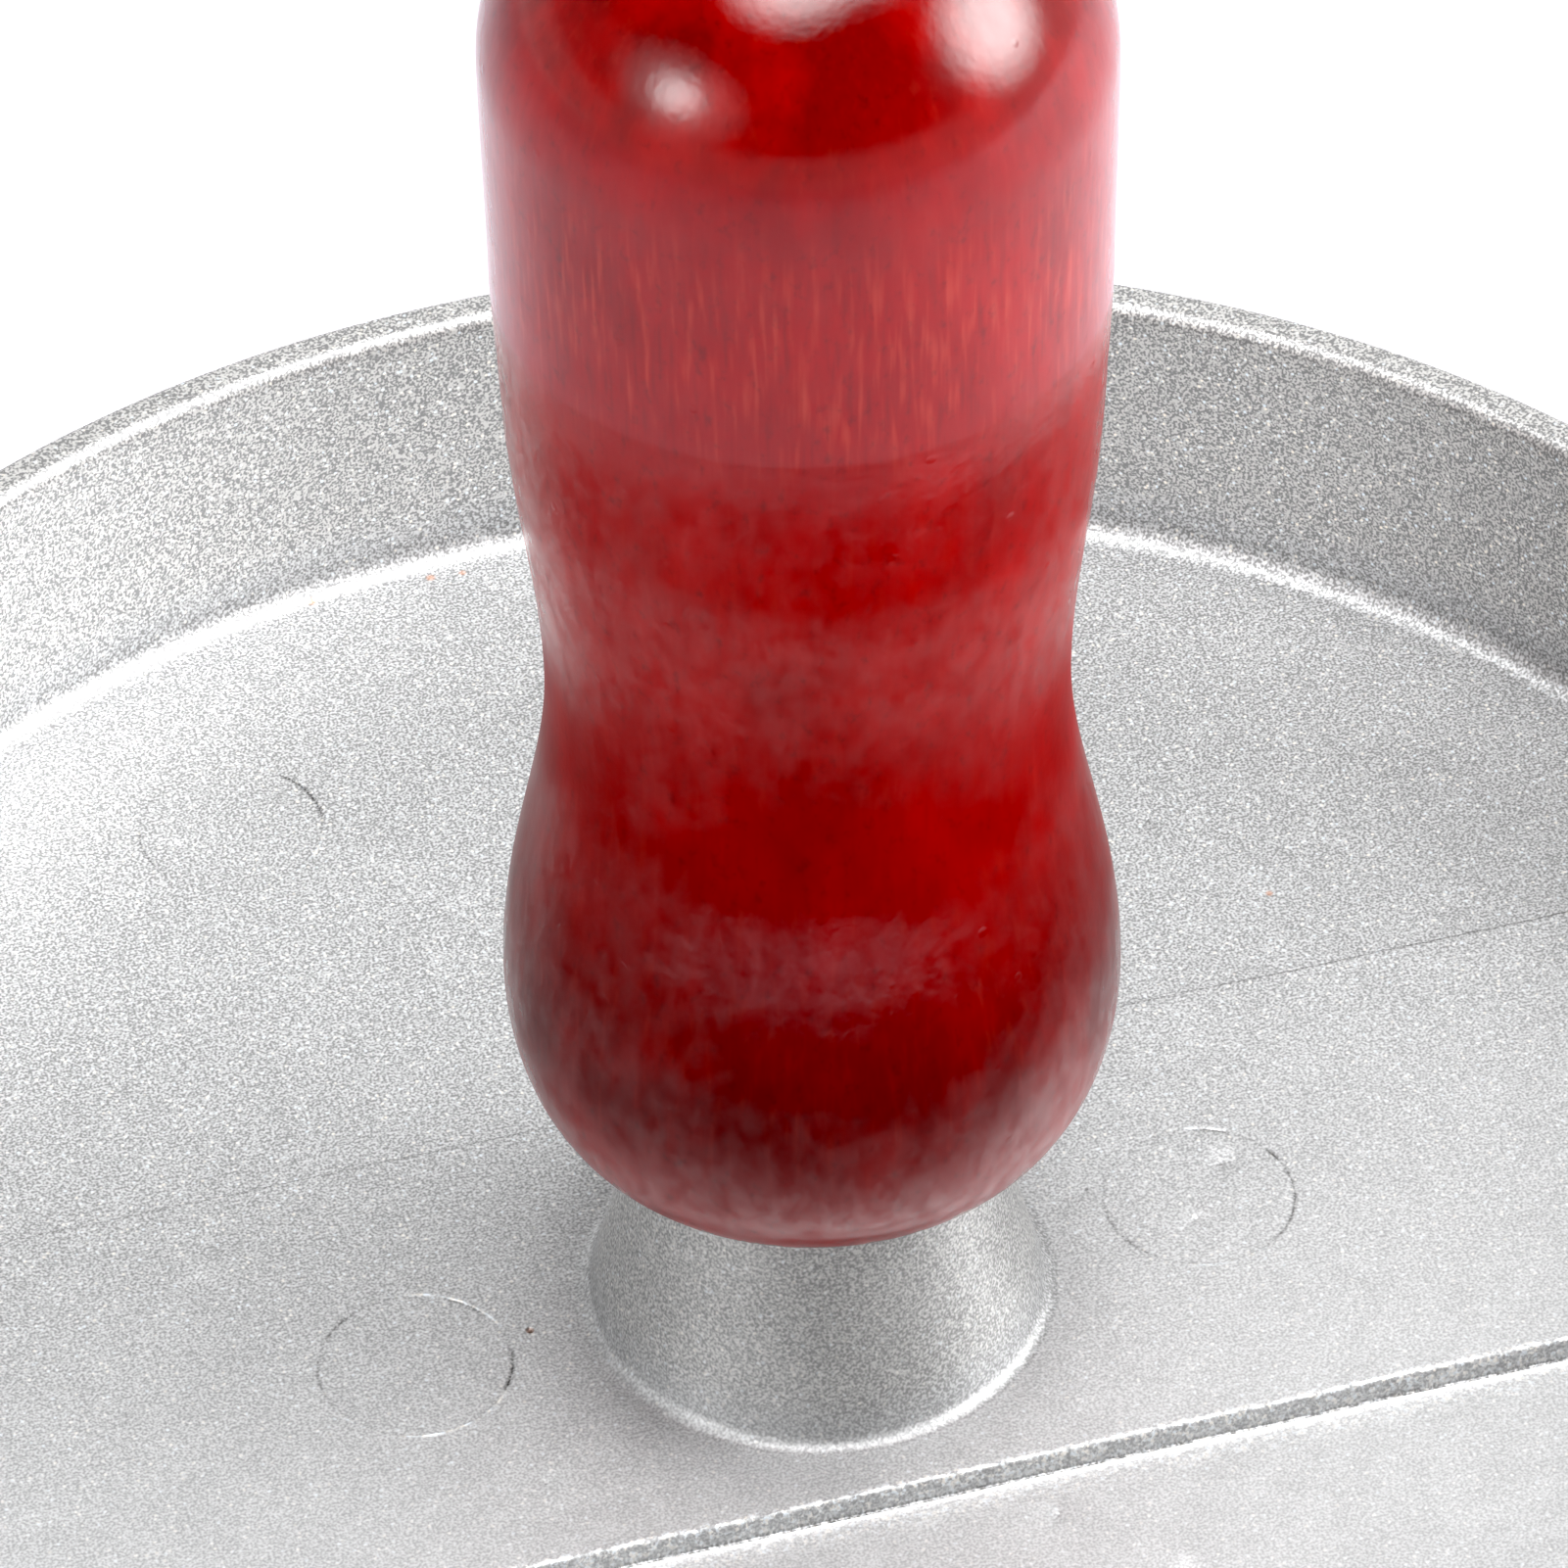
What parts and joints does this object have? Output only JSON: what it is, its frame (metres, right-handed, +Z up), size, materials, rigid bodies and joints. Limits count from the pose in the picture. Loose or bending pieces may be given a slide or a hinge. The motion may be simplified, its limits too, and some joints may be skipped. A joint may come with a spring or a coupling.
{
  "type": "burger press",
  "caption": "Burger press: a round dished press plate with a turned upright handle on a tapered boss, sitting in a shallow round mould dish with grill bars.",
  "frame": {"origin": "centre of the mould's foot ring, on the surface that it stands on", "axes": "+Z up along the handle's axis, +X along the raised strip across the press plate"},
  "size_m": [0.1212, 0.1212, 0.0928],
  "materials": {
    "mould_coating": "silver sparkle non-stick coating",
    "plate_coating": "silver sparkle non-stick coating",
    "red_varnish": "deep red stain under gloss varnish",
    "stud_steel": "plain steel",
    "insert_brass": "plain brass",
    "washer_steel": "plain stainless steel"
  },
  "bodies": {
    "mould": {"mould_dish": "mould_coating"},
    "press_head": {"press_plate": "plate_coating", "handle": "red_varnish", "handle_stud": "stud_steel", "threaded_insert": "insert_brass", "seat_washer": "washer_steel"}
  },
  "joints": [
    {"name": "press_slide", "type": "slide", "parent": "mould", "child": "press_head", "axis": [0, 0, 1], "range_m": [0, 0.04]}
  ]
}
